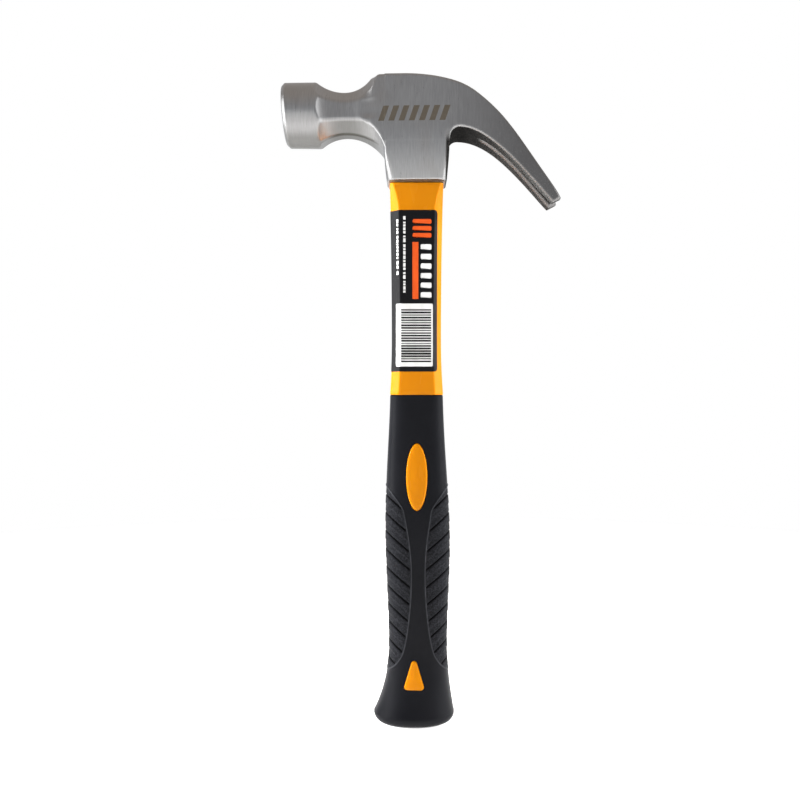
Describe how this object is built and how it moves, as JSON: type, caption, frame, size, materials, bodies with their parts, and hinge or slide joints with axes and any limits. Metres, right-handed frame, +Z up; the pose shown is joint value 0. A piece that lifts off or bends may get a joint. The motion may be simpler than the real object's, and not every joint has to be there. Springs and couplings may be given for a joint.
{
  "type": "claw hammer",
  "caption": "Curved-claw hammer: forged steel head epoxied to a fibreglass-cored plastic handle with a flared rubber grip.",
  "frame": {"origin": "middle of the butt's flat end, on the handle's axis", "axes": "+Z up the handle to the head, -X the way the striking face looks, +X the claws, -Y and +Y the cheeks; the label is on the -Y side"},
  "size_m": [0.1335, 0.0346, 0.3075],
  "materials": {
    "forged_steel": "belt-ground, clear-lacquered forged steel",
    "fibreglass": "pultruded glass-fibre bar, sawn ends",
    "epoxy_resin": "cured brown resin, as poured",
    "jacket_plastic": "glossy moulded yellow-orange plastic",
    "grip_rubber": "black moulded rubber, smooth bands and stippled panels",
    "label_film": "printed glossy film"
  },
  "bodies": {
    "root": {"hammer_head": "forged_steel", "fibreglass_core": "fibreglass", "epoxy_fill": "epoxy_resin", "handle_jacket": "jacket_plastic", "rubber_grip": "grip_rubber", "wrap_label": "label_film"}
  },
  "joints": []
}
